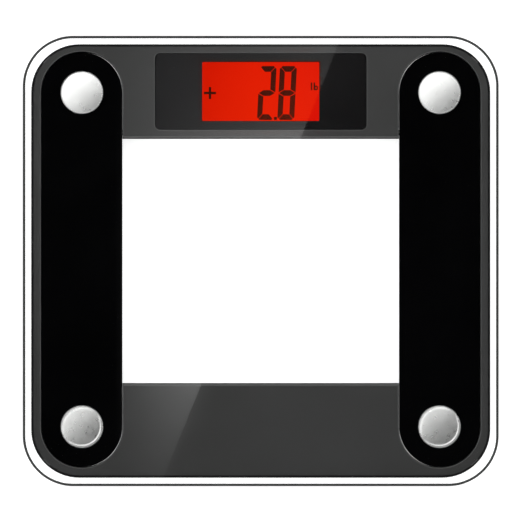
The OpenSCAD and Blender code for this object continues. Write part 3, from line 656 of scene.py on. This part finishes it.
TOP_BAR = [(-half_w + CUT, half_h), (half_w - CUT, half_h), (half_w - CUT / 2 - GAP, half_h - CUT / 2),
           (half_w - STROKE_X - GAP, half_h - STROKE_Y), (-half_w + STROKE_X + GAP, half_h - STROKE_Y),
           (-half_w + CUT / 2 + GAP, half_h - CUT / 2)]
SIDE_BAR = [(half_w, half_h - CUT), (half_w, 2 * GAP), (half_w - STROKE_X, STROKE_Y / 2 + 2 * GAP),
            (half_w - STROKE_X, half_h - STROKE_Y - GAP), (half_w - CUT / 2, half_h - CUT / 2 - GAP)]
MIDDLE_BAR = [(-half_w + TIP, 0), (-half_w + STROKE_X, STROKE_Y / 2), (half_w - STROKE_X, STROKE_Y / 2),
              (half_w - TIP, 0), (half_w - STROKE_X, -STROKE_Y / 2), (-half_w + STROKE_X, -STROKE_Y / 2)]


def flip(points, x, y):
    """The same bar mirrored, with its corners in the same turning direction."""
    turned = [(px * x, py * y) for px, py in points]
    return turned if x * y > 0 else turned[::-1]


BARS = {"top": TOP_BAR, "middle": MIDDLE_BAR, "bottom": flip(TOP_BAR, 1, -1),
        "upper_right": SIDE_BAR, "upper_left": flip(SIDE_BAR, -1, 1),
        "lower_right": flip(SIDE_BAR, 1, -1), "lower_left": flip(SIDE_BAR, -1, -1)}
LIT = {"2": ("top", "upper_right", "middle", "lower_left", "bottom"), "8": tuple(BARS)}
print("bars:", {name: len(points) for name, points in BARS.items()})

# %% Print the reading
PRINT_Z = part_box("lcd_polariser")[1].z
PRINT_T = 0.04 * MM


def add_outline(bm, points, at_x, at_y, lean=LEAN):
    """A flat face from corners in millimetres, placed from the display's middle and leaning like a digit."""
    corners = [(display_at.x + (at_x + x + y * lean) * MM, display_at.y + (at_y + y) * MM) for x, y in points]
    return bm.faces.new([bm.verts.new((x, y, PRINT_Z)) for x, y in corners])


def place_on_display(bm, x, y):
    """Moves a shape to a place in millimetres from the display's middle."""
    bmesh.ops.translate(bm, vec=(display_at.x + x * MM, display_at.y + y * MM, PRINT_Z), verts=bm.verts)


def print_piece(name, bm):
    """Gives flat outlines the thickness of the print and shows them."""
    bmesh.ops.recalc_face_normals(bm, faces=bm.faces)
    up = [f for f in bm.faces if f.normal.z < 0]
    bmesh.ops.reverse_faces(bm, faces=up)
    grown = bmesh.ops.extrude_face_region(bm, geom=bm.faces[:], use_keep_orig=True)
    raised = [v for v in grown["geom"] if isinstance(v, bmesh.types.BMVert)]
    bmesh.ops.translate(bm, vec=(0, 0, PRINT_T), verts=raised)
    bmesh.ops.recalc_face_normals(bm, faces=bm.faces)
    return add_piece(name, bm, [segment_dye])


READING_Y = -1.0
DIGITS = {"digit_two": ("2", 4.05), "digit_eight": ("8", 17.6)}
for name, (figure, x) in DIGITS.items():
    bm = bmesh.new()
    for bar in LIT[figure]:
        add_outline(bm, BARS[bar], x, READING_Y)
    print_piece(name, bm)
print("printed:", sorted(DIGITS))

# %% [markdown]
# ## Display: signs
# The plus sign is two crossed strokes, drawn as one outline with twelve corners. The decimal point is a
# small square with rounded corners, made by bevelling the corners of a grid's single face. The unit "lb" is
# thin: a stem for the l, and a stem and a round bowl for the b, where the bowl is a short edge spun a full
# turn and narrowed.

# %% Plus sign, point and unit
ARM, STROKE, PLUS_X = 4.0, 0.78, -33.8
POINT_X, POINT_HALF = 9.85, 1.05
PLUS = [(-ARM, -STROKE), (-STROKE, -STROKE), (-STROKE, -ARM), (STROKE, -ARM), (STROKE, -STROKE),
        (ARM, -STROKE), (ARM, STROKE), (STROKE, STROKE), (STROKE, ARM), (-STROKE, ARM), (-STROKE, STROKE),
        (-ARM, STROKE)]
bm = bmesh.new()
add_outline(bm, PLUS, PLUS_X, READING_Y, lean=0)
print_piece("plus_sign", bm)

bm = bmesh.new()
bmesh.ops.create_grid(bm, x_segments=1, y_segments=1, size=POINT_HALF * MM)
place_on_display(bm, POINT_X, READING_Y - DIGIT_H / 2 + 1.0)
bmesh.ops.bevel(bm, geom=bm.verts[:], offset=0.4 * MM, offset_type="OFFSET", affect="VERTICES", segments=3,
                profile=0.5, material=-1)
print_piece("decimal_point", bm)

STEM, LETTER_H, UNIT_Y = 0.5, 5.1, READING_Y + 4.45
STEMS_X, BOWL_X = (33.9, 35.75), 36.9
BOWL_INNER, BOWL_OUTER = 0.62, 1.6
stem = [(-STEM, -LETTER_H / 2), (STEM, -LETTER_H / 2), (STEM, LETTER_H / 2), (-STEM, LETTER_H / 2)]
bm = bmesh.new()
for x in STEMS_X:
    add_outline(bm, stem, x, UNIT_Y, lean=0)
print_piece("unit_stems", bm)

bm = bmesh.new()
inner = bm.verts.new((BOWL_INNER * MM, 0, 0))
outer = bm.verts.new((BOWL_OUTER * MM, 0, 0))
bm.edges.new((inner, outer))
bmesh.ops.spin(bm, geom=bm.verts[:] + bm.edges[:], cent=(0, 0, 0), axis=(0, 0, 1), angle=math.tau, steps=32,
               use_merge=True, use_duplicate=False)
bmesh.ops.remove_doubles(bm, verts=bm.verts, dist=0.000001)
bmesh.ops.scale(bm, vec=(0.8, 1.0, 1), verts=bm.verts)
place_on_display(bm, BOWL_X, UNIT_Y - LETTER_H / 2 + 1.5)
print_piece("unit_bowl", bm)
bezel = mould("display_bezel", 0.3 * MM)
print("bezel faces:", len(bezel.data.polygons))

# %% [markdown]
# ## Underneath: covers, door and screws
# The underside is what a buyer sees when changing the cells: two long rail covers, a cover over each bay,
# the battery door and twenty screws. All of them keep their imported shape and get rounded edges.

# %% Mould the covers and the inside parts
ROUNDED = {0.2: ["rail_cover_left", "rail_cover_right", "bay_cover", "front_cover", "battery_tray"],
           0.15: ["battery_door", "lcd_holder"] + [f"load_cell_{corner}" for corner in CORNERS],
           0.08: ["main_board", "coin_cell_front", "coin_cell_rear", "crystal", "board_connectors",
                  "unit_switch_body", "light_guide", "strain_gauges"],
           0.06: ["bay_cover_screws", "front_cover_screws", "rail_cover_screws", "cell_screws",
                  "board_screws", "battery_contacts", "board_capacitors", "converter_chip"]}
for edge, names in ROUNDED.items():
    for name in names:
        mould(name, edge * MM)
print("rounded:", sum(len(names) for names in ROUNDED.values()))

# %% [markdown]
# ## Underneath: feet
# A foot is a round moulded shoe that slides up into the rail when someone steps on. It holds a rubber pad
# with two grip rings. Between the foot and the load cell sits a soft silicone buffer, which flattens as the
# foot rises; here it rides on the platform with a mesh of its own.

# %% Feet, pads and buffers
for corner in CORNERS:
    foot = mould(f"foot_{corner}", 0.3 * MM)
    low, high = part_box(f"foot_pad_{corner}")
    r, t = (high.x - low.x) / 2 / MM, (high.z - low.z) / MM
    section = [(0, 0.25), (0.8, 0.25), (1.3, 0)]
    for ring in (0.27, 0.45, 0.63, 0.81):
        section += [(r * ring - 0.75, 0), (r * ring - 0.5, 0.42), (r * ring - 0.2, 0.5),
                    (r * ring + 0.2, 0.5), (r * ring + 0.5, 0.42), (r * ring + 0.75, 0)]
    section += [(r - 0.6, 0), (r - 0.15, 0.2), (r, 0.6), (r, t), (0, t)]
    bm = spin_section(section)
    bmesh.ops.translate(bm, vec=(sensor_at[corner].x, sensor_at[corner].y, low.z), verts=bm.verts)
    add_piece(f"pad_{corner}", bm, [finishes["pad_rubber"]], f"foot_{corner}_body",
              [f"foot_pad_{corner}"], angle=40)
    low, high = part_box(f"buffer_{corner}")
    r, t = (high.x - low.x) / 2 / MM, (high.z - low.z) / MM
    section = [(0, 0), (r - 0.5, 0), (r - 0.1, 0.25), (r - 0.22, t / 2), (r - 0.1, t - 0.25), (r - 0.5, t),
               (0, t)]
    bm = spin_section(section, 48)
    bmesh.ops.translate(bm, vec=(sensor_at[corner].x, sensor_at[corner].y, low.z), verts=bm.verts)
    puck = add_piece(f"puck_{corner}", bm, [finishes["buffer_silicone"]], "platform",
                     [f"buffer_{corner}"], angle=50)
    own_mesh(puck)
print("feet:", len(CORNERS))

# %% [markdown]
# ## Unit button
# The unit button is a small cap that sits in a hole of the rear cover. Its face is dished for a fingertip
# or a pen, with one fine ring, and it is spun like the caps.

# %% Spin the button
low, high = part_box("unit_button")
flange_r, tall = (high.x - low.x) / 2 / MM, (high.z - low.z) / MM
FACE_R = 4.0
section = [(0, 0.32), (1.2, 0.28), (2.2, 0.17), (2.35, 0.28), (2.6, 0.28), (2.75, 0.12), (FACE_R - 0.6, 0.0),
           (FACE_R - 0.2, 0.06), (FACE_R, 0.3), (FACE_R, tall - 0.6), (flange_r, tall - 0.6),
           (flange_r, tall), (0, tall)]
bm = spin_section(section, 64)
at = middle("unit_button")
bmesh.ops.translate(bm, vec=(at.x, at.y, low.z), verts=bm.verts)
button = add_piece("button_cap", bm, [finishes["button_plastic"]], "unit_button_body",
                   ["unit_button"], angle=40)
print("button:", round(2 * flange_r, 1), "mm over its flange")

# %% [markdown]
# ## The other parts
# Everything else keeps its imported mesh, because it is small or hidden inside. Each takes the finish that
# the record names for it.

# %% Finish every part that is shown as packed
kept = [name for name, node in nodes.items() if not node.hide_render]
for name in kept:
    nodes[name].material_slots[0].material = finishes[slot_of(name).split(".")[0]]
print("kept as packed:", sorted(kept))

# %% [markdown]
# ## Floor
# The floor is a plain pale table. Under the glass it glows a little more, as a light table does, so that
# the clear glass stays white. It is one-sided: seen from below, it is clear, so the underside can be looked
# at.

# %% Floor
FLOOR_HALF = 9.0
GLOW_UNDER, GLOW_ROUND = 0.85, 0.56


def floor_finish():
    """A pale matt floor, clear from below, with a soft glow under the scale."""
    material = bpy.data.materials.new("floor_pale")
    material.use_nodes = True
    tree = material.node_tree
    shader = tree.nodes["Principled BSDF"]
    shader.inputs["Base Color"].default_value = (0.82, 0.82, 0.82, 1)
    shader.inputs["Roughness"].default_value = 0.9
    shader.inputs["Specular IOR Level"].default_value = 0.1
    place = tree.nodes.new("ShaderNodeTexCoord")
    beyond = tree.nodes.new("ShaderNodeVectorMath")
    beyond.operation = "ABSOLUTE"
    tree.links.new(place.outputs["Object"], beyond.inputs[0])
    split = tree.nodes.new("ShaderNodeSeparateXYZ")
    tree.links.new(beyond.outputs["Vector"], split.inputs["Vector"])
    reach = add_math(tree, "MAXIMUM", add_math(tree, "SUBTRACT", split.outputs["X"], glass_high.x),
                     add_math(tree, "SUBTRACT", split.outputs["Y"], glass_high.y))
    shader.inputs["Emission Color"].default_value = (1, 1, 1, 1)
    glow = add_range(tree, reach, GLOW_UNDER, GLOW_ROUND, -2 * MM, 0.0)
    tree.links.new(glow, shader.inputs["Emission Strength"])
    side = tree.nodes.new("ShaderNodeNewGeometry")
    clear = tree.nodes.new("ShaderNodeBsdfTransparent")
    both = tree.nodes.new("ShaderNodeMixShader")
    tree.links.new(side.outputs["Backfacing"], both.inputs["Fac"])
    tree.links.new(shader.outputs["BSDF"], both.inputs[1])
    tree.links.new(clear.outputs["BSDF"], both.inputs[2])
    tree.links.new(both.outputs["Shader"], tree.nodes["Material Output"].inputs["Surface"])
    return material


def add_stage(name, bm, material):
    """A floor or card that isn't part of the scale."""
    mesh = bpy.data.meshes.new(name)
    bm.to_mesh(mesh)
    bm.free()
    mesh.materials.append(material)
    thing = bpy.data.objects.new(name, mesh)
    scene.collection.objects.link(thing)
    return thing


bm = bmesh.new()
bmesh.ops.create_grid(bm, x_segments=1, y_segments=1, size=FLOOR_HALF)
bmesh.ops.translate(bm, vec=(0, 0, -0.05 * MM), verts=bm.verts)
floor = add_stage("floor", bm, floor_finish())
print("floor:", 2 * FLOOR_HALF, "m wide")

# %% [markdown]
# ## Light
# The room is a dome of soft light: bright above and to the left, dim above and to the right, even lower
# down. That gradient is what the steel caps mirror. What the glass mirrors lower down is dimmed, as dark
# curtains round the table would do, so the parts under it don't wash out from the side. Straight above
# hangs a black card, so that the flat glass mirrors nothing and the black parts stay black. A softbox strip
# lies against the card, and its slanted edge draws the long diagonal highlight across the glass. A red gel
# covers the part of the strip that the display mirrors, so that the reading keeps its colour.

# %% Room light
world = bpy.data.worlds.new("room")
scene.world = world
world.use_nodes = True
tree = world.node_tree
background = tree.nodes["Background"]
background.inputs["Color"].default_value = (1, 1, 1, 1)
ray = tree.nodes.new("ShaderNodeTexCoord")
slope = tree.nodes.new("ShaderNodeVectorMath")
slope.operation = "DOT_PRODUCT"
slope.inputs[1].default_value = Vector((-1, 1.15, 0)).normalized()
tree.links.new(ray.outputs["Generated"], slope.inputs[0])
overhead = add_range(tree, slope.outputs["Value"], 0.0, 1.9, -0.15, 0.1)
apart = tree.nodes.new("ShaderNodeSeparateXYZ")
tree.links.new(ray.outputs["Generated"], apart.inputs["Vector"])
low_down = add_range(tree, apart.outputs["Z"], 1, 0, 0.8, 0.93)
room = tree.nodes.new("ShaderNodeMix")
tree.links.new(low_down, room.inputs["Factor"])
tree.links.new(overhead, room.inputs["A"])
room.inputs["B"].default_value = 0.95
near_floor = add_range(tree, apart.outputs["Z"], 0.3, 1, 0.02, 0.25)
dimmed = add_math(tree, "MULTIPLY", room.outputs["Result"], near_floor)
looks = tree.nodes.new("ShaderNodeLightPath")
mirrored = add_range(tree, apart.outputs["Z"], 0.3, 1, 0.42, 0.66)
kept_light = tree.nodes.new("ShaderNodeMix")
tree.links.new(looks.outputs["Is Glossy Ray"], kept_light.inputs["Factor"])
kept_light.inputs["A"].default_value = 1
tree.links.new(mirrored, kept_light.inputs["B"])
room_light = add_math(tree, "MULTIPLY", dimmed, kept_light.outputs["Result"])
backdrop = tree.nodes.new("ShaderNodeMix")
tree.links.new(looks.outputs["Is Camera Ray"], backdrop.inputs["Factor"])
tree.links.new(room_light, backdrop.inputs["A"])
backdrop.inputs["B"].default_value = 0.95
tree.links.new(backdrop.outputs["Result"], background.inputs["Strength"])
print("room light:", world.name)

# %% Card and softbox strip
CAMERA_H = 6.0
CARD_Z = 9.0
spread = 1 + (CARD_Z - glass_high.z) / (CAMERA_H - glass_high.z)
CARD_HALF = 0.47
STRIP_LEFT, STRIP_TOP, STRIP_BOTTOM = -97 * MM, 51 * MM, -64.2 * MM
STRIP_Y = 143 * MM
STRIP_FADE = [(0.007, 0.12), (0.084, 0.25), (0.175, 0.55), (0.22, 0.8), (0.5, 1.0), (0.793, 0.86),
              (0.814, 0.66), (0.9, 0.5), (0.97, 0.34)]


def card_finish(name, strength=0.0, colour=(1, 1, 1)):
    """Matt black, or black with a glow that rises from the strip's left side to its slanted edge."""
    material = bpy.data.materials.new(name)
    material.use_nodes = True
    tree = material.node_tree
    shader = tree.nodes["Principled BSDF"]
    shader.inputs["Base Color"].default_value = (0.002, 0.002, 0.002, 1)
    shader.inputs["Specular IOR Level"].default_value = 0
    if strength:
        place = tree.nodes.new("ShaderNodeTexCoord")
        split = tree.nodes.new("ShaderNodeSeparateXYZ")
        tree.links.new(place.outputs["Object"], split.inputs["Vector"])
        x, y = split.outputs["X"], split.outputs["Y"]
        width = add_range(tree, y, STRIP_BOTTOM - STRIP_LEFT, STRIP_TOP - STRIP_LEFT, -STRIP_Y * spread,
                          STRIP_Y * spread)
        across = add_math(tree, "DIVIDE", add_math(tree, "SUBTRACT", x, STRIP_LEFT * spread), width)
        rise = add_math(tree, "POWER", add_math(tree, "MULTIPLY", across, 1 / spread), 1.1)
        along = add_range(tree, y, 0, 1, -STRIP_Y * spread, STRIP_Y * spread)
        fade = add_ramp(tree, along, [(spot, (level, level, level)) for spot, level in STRIP_FADE])
        shader.inputs["Emission Color"].default_value = (*colour, 1)
        glow = add_math(tree, "MULTIPLY", add_math(tree, "MULTIPLY", rise, fade), strength)
        tree.links.new(glow, shader.inputs["Emission Strength"])
    return material


bm = bmesh.new()
bmesh.ops.create_grid(bm, x_segments=1, y_segments=1, size=CARD_HALF)
bmesh.ops.translate(bm, vec=(0, 0, CARD_Z), verts=bm.verts)
add_stage("black_card", bm, card_finish("card_black"))

# %% Softbox strip and its red gel
SLANT = (STRIP_TOP - STRIP_BOTTOM) / (2 * STRIP_Y)
EDGE_MID = (STRIP_TOP + STRIP_BOTTOM) / 2 * spread


def strip_piece(name, left, low_y, right, high_y, z, material):
    """A rectangle of the strip, cut off along the slanted edge."""
    bm = bmesh.new()
    bmesh.ops.create_grid(bm, x_segments=1, y_segments=1, size=0.5)
    bmesh.ops.scale(bm, vec=(right - left, high_y - low_y, 1), verts=bm.verts)
    bmesh.ops.translate(bm, vec=((left + right) / 2, (low_y + high_y) / 2, z), verts=bm.verts)
    bmesh.ops.bisect_plane(bm, geom=bm.verts[:] + bm.edges[:] + bm.faces[:], plane_co=(EDGE_MID, 0, z),
                           plane_no=(1, -SLANT, 0), clear_outer=True)
    return add_stage(name, bm, material)


long_y = 1.1 * STRIP_Y * spread
strip_piece("softbox_strip", STRIP_LEFT * spread, -long_y, STRIP_TOP * 1.2 * spread, long_y, CARD_Z - 0.01,
            card_finish("card_strip", 0.85))
film_low, film_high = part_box("lcd_polariser")
strip_piece("red_gel", *(film_low.xy * spread), *(film_high.xy * spread), CARD_Z - 0.02,
            card_finish("card_gel", 1.9, (1, 0.09, 0.012)))
print("card:", CARD_Z, "m up, spread", round(spread, 3))

# %% [markdown]
# ## Camera
# The camera looks straight down from six metres through a long lens, so that upright sides don't show and
# the scale's outline is true. The lens is chosen so that the frame takes in 347.7 mm at the height of the
# glass.

# %% Camera
SENSOR = 36.0
FRAMED = 347.7 * MM
lens = SENSOR * (CAMERA_H - glass_high.z) / FRAMED
camera_data = bpy.data.cameras.new("camera")
camera_data.sensor_width, camera_data.lens = SENSOR, lens
camera_data.clip_start, camera_data.clip_end = 0.1, 40
camera = bpy.data.objects.new("camera", camera_data)
camera.location = (0.0002, 0, CAMERA_H)
scene.collection.objects.link(camera)
scene.camera = camera
scene.view_settings.view_transform = "Standard"
print("lens:", round(lens, 1), "mm")
